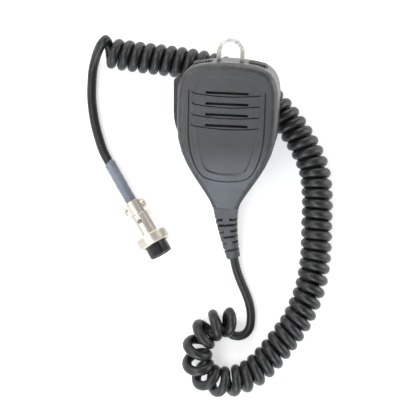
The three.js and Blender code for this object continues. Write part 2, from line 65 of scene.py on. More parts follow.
# The cord runs from the boot through the plain lead, the coil and the plain tail to the plug.
# Its route is in millimetres, and a coil point has no height of its own.
curlyCord = {
    "strand": 2.8, "coilRadius": 6.2, "lift": 0.05, "pointsPerTurn": 28,
    "atBoot": 2.55, "swell": 0.27, "tailThinner": 0.12, "relaxPasses": 40, "relaxReach": 9,
    "lead": [(6.24, -60.02, 4.2), (6.95, -62.5, 3.55), (8.3, -67.7, 2.8), (11.1, -74.8, 2.6),
             (13.8, -80.7, 2.6), (15.9, -86.1, 2.6), (17.1, -91.7, 2.6), (17.3, -96.3, 2.6),
             (16.7, -100.7, 2.6), (14.7, -104, 2.6), (11.8, -105.6, 2.6), (8.8, -105.8, 2.6),
             (6.0, -104.7, 2.65), (4.1, -101.7, 2.75), (3.55, -99.4, 2.85)],
    "coil": [(5.4, -96.5), (-3, -99), (-9.8, -104.7), (-12.9, -112.5), (-12.4, -122.4),
             (-7.6, -128.8), (-1.3, -131.3), (5.4, -131.3), (12.5, -129.4), (19, -125.8),
             (28.3, -116.6), (35.6, -106.8), (42.5, -96.8), (47.7, -85.1), (51.2, -73),
             (53.1, -57), (53.2, -40.5), (53.2, -26.2), (52, -13.6), (49.9, -5.7), (44.7, 4.8),
             (38, 14.8), (29.7, 24.5), (20.7, 32.5), (12.8, 37.6), (5.8, 42), (-0.7, 45.1),
             (-13.9, 48.6), (-32.1, 50.9), (-47.5, 52.4), (-66.4, 54.4), (-74.4, 55.3)],
    # distance along the coil's middle line, turns made, lean and yaw of the turn in degrees
    "winding": [(-5, -1.75, -38, 0), (0.3, -1, -32, 0), (7.8, 0, -17, -3), (16.3, 1, 2, 5),
                (25.4, 2, 14, 2), (34.5, 3, 22, -2), (43.7, 4, 22, 0), (51.7, 5, 18, 1),
                (59.8, 6, 10, 1), (66.8, 7, 5, 5), (73.5, 8, 2, 5), (93, 11, 0, 3.5),
                (117.6, 15, 0, 0.5), (143.5, 19, 0, -3), (167.1, 23, 0, -4), (196.7, 28, 0, -2),
                (221.3, 32, 0, 3), (246.2, 36, 0, 2), (279.2, 41, 0, 1), (339.8, 51, 0, 1),
                (352.2, 53, 0, 1)],
    "coilStart": -1.6, "coilEnd": 344.8,
    "tail": [(-68.9, 62.9, 9.5), (-70.2, 61.5, 12.6), (-72.3, 59.1, 12), (-74, 56.5, 9.6),
             (-75.6, 52.9, 6.8), (-76.9, 48.7, 4.7), (-77.7, 44.8, 3.4), (-78.1, 37.7, 2.9),
             (-78, 29.9, 2.9), (-77.1, 22.2, 2.9), (-75.6, 14.5, 2.9), (-73.4, 6.9, 2.95),
             (-70.4, -1.2, 3.5), (-67, -7.2, 4.2), (-63.2, -13.5, 4.9), (-58.4, -21.3, 5.9),
             (-53.2, -29.8, 7), (-51.6, -32.4, 7.3)],
}


def smoothThrough(points, perSpan):
    # one smooth curve through the points, each span with its own pace
    points = [Vector(p) for p in points]
    points = [2 * points[0] - points[1]] + points + [2 * points[-1] - points[-2]]
    drawn = []
    for a, b, c, d in zip(points, points[1:], points[2:], points[3:]):
        t1 = (b - a).length ** 0.5
        t2 = t1 + (c - b).length ** 0.5
        t3 = t2 + (d - c).length ** 0.5
        for step in range(perSpan):
            t = t1 + (t2 - t1) * step / perSpan
            ab = a.lerp(b, t / t1)
            bc = b.lerp(c, (t - t1) / (t2 - t1))
            cd = c.lerp(d, (t - t2) / (t3 - t2))
            drawn.append(ab.lerp(bc, t / t2).lerp(bc.lerp(cd, (t - t1) / (t3 - t1)),
                                                  (t - t1) / (t2 - t1)))
    return drawn + [points[-2]]


def readOff(table, column, at, width):
    # the table's value at a distance, averaged over a short length so that it changes smoothly
    total = 0
    for sample in range(9):
        x = min(max(at + width * (sample - 4) / 4, table[0][0]), table[-1][0])
        for low, high in zip(table, table[1:]):
            if x <= high[0]:
                share = (x - low[0]) / (high[0] - low[0])
                total += low[column] + (high[column] - low[column]) * share
                break
    return total / 9


def windCoil(cord):
    middle = smoothThrough([(x, y, 0) for x, y in cord["coil"]], 40)
    along = [0]
    for a, b in zip(middle, middle[1:]):
        along.append(along[-1] + (b - a).length)
    away = (middle[1] - middle[0]).normalized()

    def middleAt(distance):
        if distance <= 0:
            return middle[0] + away * distance
        for i, reach in enumerate(along):
            if reach >= distance:
                return middle[i - 1].lerp(middle[i], (distance - along[i - 1]) / (reach - along[i - 1]))
        return middle[-1]

    up = Vector((0, 0, 1))
    wound, distance = [], cord["coilStart"]
    while distance < cord["coilEnd"]:
        travel = (middleAt(distance + 0.5) - middleAt(distance - 0.5)).normalized()
        left = Vector((-travel.y, travel.x, 0))
        turns = readOff(cord["winding"], 1, distance, 2.5)
        lean = math.radians(readOff(cord["winding"], 2, distance, 4))
        yaw = math.radians(readOff(cord["winding"], 3, distance, 4))
        around = math.pi - 2 * math.pi * turns
        side = left * math.cos(yaw) + travel * math.sin(yaw)
        rise = up * math.cos(lean) + travel * math.sin(lean)
        height = cord["coilRadius"] * math.cos(lean) + cord["strand"] + cord["lift"]
        wound.append(middleAt(distance) + up * height
                     + (side * math.cos(around) + rise * math.sin(around)) * cord["coilRadius"])
        pitch = (readOff(cord["winding"], 1, distance + 1, 2.5) - turns) or 0.15
        distance += 1 / (pitch * cord["pointsPerTurn"])
    return wound


def layCord(cord):
    wound = windCoil(cord)
    lead = smoothThrough(cord["lead"] + [tuple(wound[0])], 6)[:-1]
    tail = smoothThrough([tuple(wound[-1])] + cord["tail"], 6)[1:]
    line = lead + wound + tail
    # a last relaxing pass takes the corners out of the two joins
    for _ in range(cord["relaxPasses"]):
        for joint in (len(lead), len(lead) + len(wound)):
            for i in range(joint - cord["relaxReach"], joint + cord["relaxReach"] + 1):
                line[i] = line[i].lerp((line[i - 1] + line[i + 1]) / 2, 0.5)
    bpy.ops.object.select_all(action="DESELECT")
    bpy.ops.curve.primitive_nurbs_path_add(location=(0, 0, 0))
    piece = bpy.context.object
    piece.name = "curlyCord"
    piece.data.splines.clear()
    spline = piece.data.splines.new("POLY")
    spline.points.add(len(line) - 1)
    for i, place in enumerate(line):
        thick = cord["atBoot"] + cord["swell"] * min(1, max(0, (i - len(lead) + 30) / 60))
        if i > len(lead) + len(wound):
            thick -= cord["tailThinner"] * min(1, (i - len(lead) - len(wound)) / 40)
        spline.points[i].co = (*(place * millimetre), 1)
        spline.points[i].radius = thick / cord["strand"]
    piece.data.dimensions = "3D"
    piece.data.bevel_depth = cord["strand"] * millimetre
    piece.data.bevel_resolution = 5
    piece.data.use_fill_caps = True
    length = sum((b - a).length for a, b in zip(line, line[1:])) * millimetre
    print("cord laid,", round(length, 3), "m")
    return piece, length


cordPiece, cordLength = layCord(curlyCord)


# Ways of working that the pieces share.
def clearSelection():
    if bpy.context.object and bpy.context.object.mode != "OBJECT":
        bpy.ops.object.mode_set(mode="OBJECT")
    bpy.ops.object.select_all(action="DESELECT")


def pickUp(piece, edit=False):
    clearSelection()
    piece.select_set(True)
    bpy.context.view_layer.objects.active = piece
    if edit:
        bpy.ops.object.mode_set(mode="EDIT")
        bpy.ops.mesh.select_mode(type="VERT")
        bpy.ops.mesh.select_all(action="SELECT")


def choose(piece, kind, wanted):
    # in edit mode: selects only the vertices, edges or faces that wanted() accepts
    bpy.ops.mesh.select_mode(type=kind)
    bpy.ops.mesh.select_all(action="DESELECT")
    shape = bmesh.from_edit_mesh(piece.data)
    for item in {"VERT": shape.verts, "EDGE": shape.edges, "FACE": shape.faces}[kind]:
        if wanted(item):
            item.select_set(True)
    shape.select_flush_mode()
    bmesh.update_edit_mesh(piece.data)


def useModifier(piece, kind, **settings):
    pickUp(piece)
    bpy.ops.object.modifier_add(type=kind)
    modifier = piece.modifiers[-1]
    for name, value in settings.items():
        setattr(modifier, name, value)
    bpy.ops.object.modifier_apply(modifier=modifier.name)


def carve(piece, cutters, operation="DIFFERENCE"):
    for cutter in cutters:
        useModifier(piece, "BOOLEAN", object=cutter, operation=operation, solver="EXACT")
        bpy.data.objects.remove(cutter)


def drawLine(name, points, closed=False):
    # extrudes a single vertex from point to point
    clearSelection()
    bpy.ops.mesh.primitive_plane_add(size=1)
    piece = bpy.context.object
    piece.name = name
    pickUp(piece, edit=True)
    bpy.ops.mesh.merge(type="CENTER")
    bpy.ops.transform.translate(value=points[0])
    for last, here in zip(points, points[1:] + (points[:1] if closed else [])):
        step = Vector(here) - Vector(last)
        bpy.ops.mesh.extrude_region_move(TRANSFORM_OT_translate={"value": step})
    if closed:
        bpy.ops.mesh.select_all(action="SELECT")
        bpy.ops.mesh.remove_doubles(threshold=0.001)
    return piece


def roundedLine(knots, height, steps=9):
    # knots are (x, y, in x, in y, out x, out y); a knot of two numbers is a corner
    knots = [k if len(k) == 6 else (*k, *k, *k) for k in knots]
    points = []
    for a, b in zip(knots, knots[1:] + knots[:1]):
        straight = a[:2] == a[4:] and b[:2] == b[2:4]
        ends = [Vector((*p, height)) for p in (a[:2], a[4:], b[2:4], b[:2])]
        points += interpolate_bezier(*ends, 2 if straight else steps)[:-1]
    return [tuple(p) for p in points]


def mirrored(half):
    # the other half of a set of knots drawn up the right side
    other = []
    for knot in reversed(half):
        if len(knot) == 6:
            x, y, inX, inY, outX, outY = knot
            other.append((-x, y, -outX, outY, -inX, inY))
        else:
            other.append((-knot[0], knot[1]))
    if half[-1][0] == 0:
        other = other[1:]
        half = half[:-1] + [half[-1][:2] + half[-1][2:4] + (-half[-1][2], half[-1][3])]
    if half[0][0] == 0:
        other = other[:-1]
        half = [half[0][:2] + (-half[0][4], half[0][5]) + half[0][4:]] + half[1:]
    return half + other


def lineInside(points, distance):
    # the same closed line, drawn a fixed distance further in
    inside = []
    for last, here, after in zip(points[-1:] + points, points, points[1:] + points[:1]):
        a, b, c = Vector(last[:2]), Vector(here[:2]), Vector(after[:2])
        one = (b - a).normalized().orthogonal()
        two = (c - b).normalized().orthogonal()
        way = (one + two).normalized()
        x, y = b + way * distance / max(0.5, way.dot(one))
        inside.append((x, y, here[2]))
    return inside


def fillAndRaise(piece, height):
    bpy.ops.mesh.select_all(action="SELECT")
    bpy.ops.mesh.edge_face_add()
    bpy.ops.mesh.extrude_region_move(TRANSFORM_OT_translate={"value": (0, 0, height)})
    keep = [f.index for f in bmesh.from_edit_mesh(piece.data).faces if f.select]
    bpy.ops.mesh.select_all(action="SELECT")
    bpy.ops.mesh.normals_make_consistent(inside=False)
    choose(piece, "FACE", lambda f: f.index in keep)


def roundOver(radius, steps):
    # walks the chosen flat face in and out along a quarter round
    last = (0, 0)
    for step in range(1, steps + 1):
        turn = math.pi / 2 * step / steps
        here = (radius * (1 - math.cos(turn)), radius * math.sin(turn))
        bpy.ops.mesh.inset(thickness=here[0] - last[0], depth=here[1] - last[1],
                           use_even_offset=True)
        last = here


def turnOnLathe(name, profile, steps=96, angle=2 * math.pi):
    # profile is (radius, height) points; the closed outline is spun round the Z axis
    piece = drawLine(name, [(r, 0, z) for r, z in profile], closed=True)
    if angle < 6.28:
        bpy.ops.mesh.edge_face_add()
    bpy.ops.mesh.spin(steps=steps, angle=-angle, center=(0, 0, 0), axis=(0, 0, 1),
                      use_auto_merge=angle > 6.28)
    bpy.ops.mesh.select_all(action="SELECT")
    bpy.ops.mesh.remove_doubles(threshold=0.001)
    bpy.ops.mesh.normals_make_consistent(inside=False)
    bpy.ops.object.mode_set(mode="OBJECT")
    return piece


def block(name, low, high, turn=0):
    clearSelection()
    low, high = Vector(low), Vector(high)
    bpy.ops.mesh.primitive_cube_add(size=1, location=(low + high) / 2, scale=high - low,
                                    rotation=(0, 0, turn))
    bpy.context.object.name = name
    bpy.ops.object.transform_apply(location=True, rotation=True, scale=True)
    return bpy.context.object


def drill(x, y, low, high, radius, sides=40):
    clearSelection()
    bpy.ops.mesh.primitive_cylinder_add(vertices=sides, radius=radius, depth=high - low,
                                        location=(x, y, (low + high) / 2))
    bpy.ops.object.transform_apply(location=True, rotation=True, scale=True)
    return bpy.context.object


def copyPiece(piece, name, move):
    # a copy with its own mesh
    pickUp(piece)
    bpy.ops.object.duplicate(linked=False)
    twin = bpy.context.object
    twin.name = name
    twin.location = move
    bpy.ops.object.transform_apply(location=True, rotation=True, scale=True)
    return twin


def grooveCutter(points, radius, deep):
    # a thin round rod along a line, to be cut out of a face
    clearSelection()
    bpy.ops.curve.primitive_nurbs_path_add()
    rod = bpy.context.object
    rod.data.splines.clear()
    spline = rod.data.splines.new("POLY")
    spline.points.add(len(points) - 1)
    for i, place in enumerate(points):
        spline.points[i].co = (*place, 1)
    rod.data.bevel_depth = radius
    rod.data.bevel_resolution = 2
    rod.data.use_fill_caps = True
    bpy.ops.object.convert(target="MESH")
    bpy.ops.transform.resize(value=(1, 1, deep), center_override=points[0])
    bpy.ops.object.transform_apply(location=True, rotation=True, scale=True)
    return bpy.context.object


def bendInCage(piece, low, high, counts, moved):
    # a lattice round the piece, whose points moved() puts elsewhere
    low, high = Vector(low), Vector(high)
    clearSelection()
    bpy.ops.object.add(type="LATTICE", location=(low + high) / 2)
    cage = bpy.context.object
    cage.scale = high - low
    cage.data.points_u, cage.data.points_v, cage.data.points_w = counts
    for way in "uvw":
        setattr(cage.data, "interpolation_type_" + way, "KEY_LINEAR")
    cage.data.interpolation_type_v = "KEY_CATMULL_ROM"
    bpy.context.view_layer.update()
    there, back = cage.matrix_world.copy(), cage.matrix_world.inverted()
    for point in cage.data.points:
        point.co_deform = back @ moved(there @ point.co)
    useModifier(piece, "LATTICE", object=cage)
    bpy.data.objects.remove(cage)


def setInPlace(piece, place, material, body, stands):
    # puts the finished piece where it belongs, with its place in its mesh
    clearSelection()
    piece.data.materials.clear()
    piece.data.materials.append(material)
    piece.matrix_world = place
    pickUp(piece)
    bpy.ops.object.transform_apply(location=True, rotation=True, scale=True)
    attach(piece, body)
    if stands:
        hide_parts(*stands)


def markRubbed(piece, narrow):
    # the narrow strips of a rounded edge are where hands and bags rub
    layer = piece.data.attributes.new("rubbed", "FLOAT", "FACE")
    corners = piece.data.vertices
    for face, value in zip(piece.data.polygons, layer.data):
        outline = [corners[i].co for i in face.vertices]
        longest = max((a - b).length for a, b in zip(outline, outline[1:] + outline[:1]))
        value.value = 1.0 if longest and face.area / longest < narrow else 0.0


def softenEdges(piece, width, segments=3, angle=32, shade=35):
    useModifier(piece, "BEVEL", width=width, segments=segments, limit_method="ANGLE",
                angle_limit=math.radians(angle), use_clamp_overlap=True, harden_normals=False)
    markRubbed(piece, width * 1.8 / segments)
    evenShading(piece, shade)


def evenShading(piece, shade=35):
    pickUp(piece)
    bpy.ops.object.shade_smooth_by_angle(angle=math.radians(shade))
    useModifier(piece, "WEIGHTED_NORMAL", mode="FACE_AREA", weight=80, keep_sharp=True)


# Node groups that the finishes share.
def newGroup(name, takes, gives):
    group = bpy.data.node_groups.new(name, "ShaderNodeTree")
    for label, kind, value in takes:
        socket = group.interface.new_socket(name=label, in_out="INPUT",
                                            socket_type="NodeSocket" + kind)
        socket.default_value = value
    for label, kind in gives:
        group.interface.new_socket(name=label, in_out="OUTPUT", socket_type="NodeSocket" + kind)
    return group, group.nodes.new("NodeGroupInput"), group.nodes.new("NodeGroupOutput")


def addNode(tree, kind, links=None, **settings):
    node = tree.nodes.new("ShaderNode" + kind)
    for name, value in settings.items():
        setattr(node, name, value)
    for socket, source in (links or {}).items():
        if isinstance(source, bpy.types.NodeSocket):
            tree.links.new(source, node.inputs[socket])
        else:
            node.inputs[socket].default_value = source
    return node


def combine(tree, operation, a, b=0.5, clamp=False):
    return addNode(tree, "Math", {0: a, 1: b}, operation=operation, use_clamp=clamp).outputs[0]


def ramp(tree, value, low, high, toLow=0.0, toHigh=1.0):
    return addNode(tree, "MapRange", {0: value, 1: low, 2: high, 3: toLow, 4: toHigh}).outputs[0]


def groupMouldGrain():
    # fine moulded skin of plastic and rubber, with broad soft unevenness under it
    group, start, end = newGroup("mouldGrain", [("Fineness", "Float", 3000.0), ("Depth", "Float", 1.0),
                                                ("Waviness", "Float", 0.3)],
                                 [("Height", "Float"), ("Mask", "Float")])
    place = addNode(group, "TexCoord").outputs["Object"]
    fine = addNode(group, "TexNoise", {"Vector": place, "Scale": start.outputs[0], "Detail": 3.0,
                                       "Roughness": 0.6}).outputs[0]
    broad = addNode(group, "TexNoise", {"Vector": place, "Scale": 120.0, "Detail": 2.0}).outputs[0]
    cells = addNode(group, "TexVoronoi", {"Vector": place, "Scale": start.outputs[0]}).outputs[0]
    texture = combine(group, "ADD", fine, combine(group, "MULTIPLY", cells, 0.4))
    skin = combine(group, "MULTIPLY", texture, start.outputs[1])
    height = combine(group, "ADD", skin, combine(group, "MULTIPLY", broad, start.outputs[2]))
    group.links.new(height, end.inputs[0])
    group.links.new(fine, end.inputs[1])
    return group


def groupTintDrift():
    # slow change of colour over a surface, from one tint to the other
    group, start, end = newGroup("tintDrift", [("Dark", "Color", (0, 0, 0, 1)),
                                               ("Light", "Color", (1, 1, 1, 1)),
                                               ("Size", "Float", 60.0)], [("Color", "Color")])
    place = addNode(group, "TexCoord").outputs["Object"]
    cloud = addNode(group, "TexNoise", {"Vector": place, "Scale": start.outputs[2], "Detail": 4.0,
                                        "Roughness": 0.55}).outputs[0]
    speck = addNode(group, "TexNoise", {"Vector": place, "Scale": 2600.0, "Detail": 1.0}).outputs[0]
    share = combine(group, "ADD", combine(group, "MULTIPLY", cloud, 0.8),
                    combine(group, "MULTIPLY", speck, 0.2))
    mix = addNode(group, "Mix", {0: ramp(group, share, 0.38, 0.62), 6: start.outputs[0],
                                 7: start.outputs[1]}, data_type="RGBA")
    group.links.new(mix.outputs[2], end.inputs[0])
    return group


def groupRubbedEdges():
    # mask of corners that hands have rubbed, broken up so that it isn't an even line
    group, start, end = newGroup("rubbedEdges", [("Amount", "Float", 0.5)], [("Mask", "Float")])
    place = addNode(group, "TexCoord").outputs["Object"]
    corner = addNode(group, "Attribute", attribute_name="rubbed").outputs["Fac"]
    breakUp = addNode(group, "TexNoise", {"Vector": place, "Scale": 420.0, "Detail": 4.0}).outputs[0]
    mask = combine(group, "MULTIPLY", corner, ramp(group, breakUp, 0.4, 0.65))
    group.links.new(combine(group, "MULTIPLY", mask, start.outputs[0], True), end.inputs[0])
    return group


def groupHandling():
    # faint smears and settled dust, as a change of roughness
    group, start, end = newGroup("handling", [("Low", "Float", 0.4), ("High", "Float", 0.55)],
                                 [("Roughness", "Float"), ("Mask", "Float")])
    place = addNode(group, "TexCoord").outputs["Object"]
    smear = addNode(group, "TexNoise", {"Vector": place, "Scale": 90.0, "Detail": 5.0,
                                        "Distortion": 1.2}).outputs[0]
    dust = addNode(group, "TexNoise", {"Vector": place, "Scale": 900.0, "Detail": 2.0}).outputs[0]
    mask = combine(group, "ADD", ramp(group, smear, 0.35, 0.68, 0.0, 0.8),
                   ramp(group, dust, 0.5, 0.8, 0.0, 0.4))
    spread = combine(group, "SUBTRACT", start.outputs[1], start.outputs[0])
    rough = combine(group, "ADD", start.outputs[0], combine(group, "MULTIPLY", mask, spread))
    group.links.new(rough, end.inputs[0])
    group.links.new(mask, end.inputs[1])
    return group


def groupToolMarks():
    # fine lines left by turning or drawing metal, across the given direction
    group, start, end = newGroup("toolMarks", [("Direction", "Vector", (1, 1, 1)),
                                               ("Depth", "Float", 1.0)],
                                 [("Height", "Float"), ("Mask", "Float")])
    place = addNode(group, "TexCoord").outputs["Object"]
    stretched = addNode(group, "VectorMath", {0: place, 1: start.outputs[0]},
                        operation="MULTIPLY").outputs[0]
    lines = addNode(group, "TexNoise", {"Vector": stretched, "Scale": 2200.0, "Detail": 3.0,
                                        "Roughness": 0.7}).outputs[0]
    pits = addNode(group, "TexNoise", {"Vector": place, "Scale": 1500.0, "Detail": 2.0}).outputs[0]
    marks = combine(group, "ADD", lines, ramp(group, pits, 0.6, 0.75, 0.0, 0.3))
    height = combine(group, "MULTIPLY", marks, start.outputs[1])
    group.links.new(height, end.inputs[0])
    group.links.new(lines, end.inputs[1])
    return group


mouldGrain, tintDrift, rubbedEdges = groupMouldGrain(), groupTintDrift(), groupRubbedEdges()
handling, toolMarks = groupHandling(), groupToolMarks()


def place(tree, group, **values):
    node = tree.nodes.new("ShaderNodeGroup")
    node.node_tree = group
    for name, value in values.items():
        node.inputs[name].default_value = value
    return node


def blankMaterial(name):
    material = bpy.data.materials.new(name)
    material.use_nodes = True
    tree = material.node_tree
    return material, tree, tree.nodes["Principled BSDF"]


def mouldedPlastic(name, dark, light, rough, fineness=3000.0, bump=0.00006, worn=(0.16, 0.16, 0.165),
                   wear=0.5, waviness=0.3, coat=0.0, specular=0.5):
    material, tree, shader = blankMaterial(name)
    colour = place(tree, tintDrift, Dark=(*dark, 1), Light=(*light, 1), Size=70.0)
    edge = place(tree, rubbedEdges, Amount=wear)
    mix = addNode(tree, "Mix", {0: edge.outputs[0], 6: colour.outputs[0], 7: (*worn, 1)},
                  data_type="RGBA")
    tree.links.new(mix.outputs[2], shader.inputs["Base Color"])
    touched = place(tree, handling, Low=rough[0], High=rough[1])
    tree.links.new(touched.outputs[0], shader.inputs["Roughness"])
    grain = place(tree, mouldGrain, Fineness=fineness, Depth=1.0, Waviness=waviness)
    skin = addNode(tree, "Bump", {"Height": grain.outputs[0], "Distance": bump, "Strength": 1.0})
    tree.links.new(skin.outputs[0], shader.inputs["Normal"])
    shader.inputs["Specular IOR Level"].default_value = specular
    shader.inputs["Coat Weight"].default_value = coat
    shader.inputs["Coat Roughness"].default_value = 0.25
    return material


def platedMetal(name, dark, light, rough, direction=(1, 1, 1), bump=0.00001, tarnish=(0.2, 0.17, 0.13),
                wear=0.4):
    material, tree, shader = blankMaterial(name)
    colour = place(tree, tintDrift, Dark=(*dark, 1), Light=(*light, 1), Size=90.0)
    touched = place(tree, handling, Low=rough[0], High=rough[1])
    tree.links.new(touched.outputs[0], shader.inputs["Roughness"])
    stain = combine(tree, "MULTIPLY", touched.outputs[1], wear)
    mix = addNode(tree, "Mix", {0: stain, 6: colour.outputs[0], 7: (*tarnish, 1)}, data_type="RGBA")
    tree.links.new(mix.outputs[2], shader.inputs["Base Color"])
    lines = place(tree, toolMarks, Direction=direction, Depth=1.0)
    skin = addNode(tree, "Bump", {"Height": lines.outputs[0], "Distance": bump, "Strength": 1.0})
    tree.links.new(skin.outputs[0], shader.inputs["Normal"])
    shader.inputs["Metallic"].default_value = 1.0
    return material


finishes = {
    "casePlastic": mouldedPlastic("casePlastic", (0.031, 0.033, 0.034), (0.038, 0.041, 0.043),
                                  (0.3, 0.4), worn=(0.09, 0.092, 0.095), wear=0.3),
    "keyPlastic": mouldedPlastic("keyPlastic", (0.02, 0.021, 0.022), (0.034, 0.035, 0.037),
                                 (0.42, 0.55)),
    "barPlastic": mouldedPlastic("barPlastic", (0.008, 0.008, 0.009), (0.016, 0.016, 0.018),
                                 (0.4, 0.52)),
    "bootRubber": mouldedPlastic("bootRubber", (0.045, 0.046, 0.05), (0.06, 0.062, 0.067), (0.42, 0.55),
                                 fineness=2200.0, worn=(0.22, 0.22, 0.22), wear=0.7),
    "cordJacket": mouldedPlastic("cordJacket", (0.009, 0.0095, 0.0095), (0.016, 0.0165, 0.0165),
                                 (0.3, 0.42), fineness=2400.0, worn=(0.06, 0.06, 0.06), wear=0.3),
    "shrinkSleeve": mouldedPlastic("shrinkSleeve", (0.13, 0.135, 0.17), (0.2, 0.22, 0.26), (0.2, 0.32),
                                   fineness=1400.0, worn=(0.42, 0.43, 0.46), coat=0.5, waviness=1.4),
    "insertPlastic": mouldedPlastic("insertPlastic", (0.008, 0.008, 0.009), (0.018, 0.018, 0.02),
                                    (0.28, 0.4)),
    "switchPlastic": mouldedPlastic("switchPlastic", (0.01, 0.01, 0.011), (0.02, 0.02, 0.022),
                                    (0.4, 0.5)),
    "whitePlastic": mouldedPlastic("whitePlastic", (0.66, 0.62, 0.52), (0.8, 0.77, 0.68), (0.35, 0.5),
                                   worn=(0.85, 0.83, 0.78)),
    "boardLaminate": mouldedPlastic("boardLaminate", (0.012, 0.09, 0.035), (0.03, 0.15, 0.06), (0.2, 0.35),
                                    fineness=1200.0, worn=(0.2, 0.3, 0.18), coat=0.4),
    "grilleCloth": mouldedPlastic("grilleCloth", (0.004, 0.004, 0.005), (0.016, 0.016, 0.018), (0.8, 0.95),
                                  fineness=1500.0, bump=0.0002, wear=0.0),
    "loopSteel": platedMetal("loopSteel", (0.66, 0.645, 0.625), (0.74, 0.725, 0.7), (0.5, 0.62),
                             direction=(0.1, 0.1, 1.0)),
    "screwSteel": platedMetal("screwSteel", (0.36, 0.36, 0.37), (0.5, 0.5, 0.51), (0.28, 0.4)),
    "nickelPlate": platedMetal("nickelPlate", (0.84, 0.78, 0.72), (0.94, 0.9, 0.85), (0.3, 0.42),
                               direction=(1.0, 0.1, 0.1), tarnish=(0.5, 0.38, 0.26), wear=0.35),
    "ringNickel": platedMetal("ringNickel", (0.84, 0.8, 0.72), (0.93, 0.9, 0.82), (0.36, 0.48),
                              tarnish=(0.55, 0.42, 0.22), wear=0.4),
    "capsuleCan": platedMetal("capsuleCan", (0.44, 0.45, 0.46), (0.6, 0.61, 0.62), (0.25, 0.4)),
    "contactGold": platedMetal("contactGold", (0.6, 0.4, 0.12), (0.8, 0.56, 0.2), (0.15, 0.3)),
}
wireTints = {"wire_1": (0.45, 0.03, 0.02), "wire_2": (0.7, 0.66, 0.58), "wire_3": (0.03, 0.2, 0.06),
             "wire_4": (0.03, 0.1, 0.36), "wire_5": (0.6, 0.45, 0.04)}
for wire, tint in wireTints.items():
    finishes[wire] = mouldedPlastic(wire + "Jacket", tuple(c * 0.75 for c in tint), tint, (0.35, 0.5),
                                    worn=tuple(min(1, c * 1.3) for c in tint))
print("finishes made")

cordPiece.data.materials.append(finishes["cordJacket"])


# The two shells of the head. Outlines are knots up the right side, mirrored to the left.
head = {
    "seam": 13, "seamGap": 0.3, "depth": 28, "round": 3.6, "wall": 2.2,
    "half": [(7.3, -8), (7.3, 0, 7.3, 0, 10, 10), (27.5, 48, 27.9, 26, 27.5, 53),
             (27.5, 64, 27.5, 59, 27.5, 73), (16, 81, 24.5, 79.2, 10.667, 82.067),
             (0, 82.6, 5.333, 82.6, -5.333, 82.6)],
    "shield": [(0, 16.4, -5.3, 16.5, 5.3, 16.53), (12, 18.7, 9.3, 17.3, 17.4, 22),
               (20.8, 46, 20.8, 36, 20.8, 50), (20.8, 70, 20.8, 64, 20.67, 74.7),
               (13, 77.8, 18.1, 77.5, 8, 78), (0, 78.2, 5, 78.2, -5, 78.2)],
    "panel": [(0, 20.2, -5, 20.2, 5, 20.2), (11, 22.6, 9, 21.2, 13.2, 24.6),
              (17.2, 43, 15.6, 34, 18.4, 50), (19.2, 60, 19.2, 56, 19.2, 71),
              (12, 75.3, 16.2, 74.8, 8, 76), (0, 76.2, 5, 76.2, -5, 76.2)],
    "panelSlope": ((0.25, 0.1), (0.35, 0.36), (0.35, 0.3), (0.25, 0.07)), "panelTilt": 0.0125,
    "shieldTop": 70, "shieldRod": 0.4, "shieldStretch": 1.6, "smileHalf": 18, "smileBelow": 1.95,
    "smileBow": 250, "smileRod": 0.3, "smileStretch": 3,
    "slots": (66.4, 60.4, 54.4, 48.4), "slotHalf": 11.75, "slotHeight": 1.4, "slotEnd": 0.62,
    "ribStep": 2.2, "cage": ((-32, -5, -1), (32, 91, 29), (2, 49, 3)), "rubbedWidth": 0.72,
    "loopHalf": 6.45, "keyStation": (15.2, 81), "keyLean": 11,
    "screws": [(0, 75.4), (13.2, 20.8), (-13.2, 20.8)], "screwWell": 3.2,
}


def frontHeight(y):
    # how high the front face stands along the neck and head
    t = min(max((y + 1) / 41, -0.08), 1)
    return (19 * (1 - t) ** 3 + 67.5 * (1 - t) ** 2 * t + 84 * (1 - t) * t * t + 28 * t ** 3)


def backHeight(y):
    return 5.2 * max(0, 1 - (y + 1) / 15) ** 1.2


def toNeck(point):
    # thins the straight block towards the neck, above and below the seam
    share = (point.z + 1) / 30
    z = 14
    if share > 0.9:
        z = frontHeight(point.y) + 1
    elif share < 0.1:
        z = backHeight(point.y) - 1
    return Vector((point.x, point.y, z))


def caseHalf(name, base, height):
    # a rounded block, hollowed by a smaller one
    sizes = head
    line = roundedLine(mirrored(sizes["half"]), base)
    piece = drawLine(name, line, closed=True)
    fillAndRaise(piece, height)
    roundOver(sizes["round"], 8)
    inside = [(x, y, z - math.copysign(1, height)) for x, y, z in lineInside(line, sizes["wall"])]
    room = drawLine("room", inside, closed=True)
    fillAndRaise(room, height + math.copysign(1, height))
    roundOver(sizes["round"] - sizes["wall"], 4)
    bpy.ops.object.mode_set(mode="OBJECT")
    carve(piece, [room])
    return piece


def openingCutters():
    sizes = head
    x, y = sizes["keyStation"]
    lean = math.radians(sizes["keyLean"])
    cutters = [block("barOpening", (-40, 41.4, 5.65), (-20.5, 73.6, 20.35)),
               block("neckEnd", (-20, -12, -10), (20, -0.1, 40))]
    for side in (1, -1):
        cutters.append(block("loopOpening", (side * sizes["loopHalf"] - 1.3, 76, 11.5),
                             (side * sizes["loopHalf"] + 1.3, 86, 16.5)))
        opening = block("keyOpening", (-5.45, -5.4, 9.65), (5.45, 6, 18.35))
        opening.matrix_world = (Matrix.Translation((side * x, y, 0))
                                @ Matrix.Rotation(-side * lean, 4, "Z"))
        pickUp(opening)
        bpy.ops.object.transform_apply(location=True, rotation=True, scale=True)
        cutters.append(opening)
    return cutters


def ribsAcross(piece, low, high, step):
    # extra edges across the piece, so that it can follow a bend
    pickUp(piece, edit=True)
    y = low
    while y < high:
        bpy.ops.mesh.select_all(action="SELECT")
        bpy.ops.mesh.bisect(plane_co=(0, y, 0), plane_no=(0, 1, 0))
        y += step
    bpy.ops.object.mode_set(mode="OBJECT")


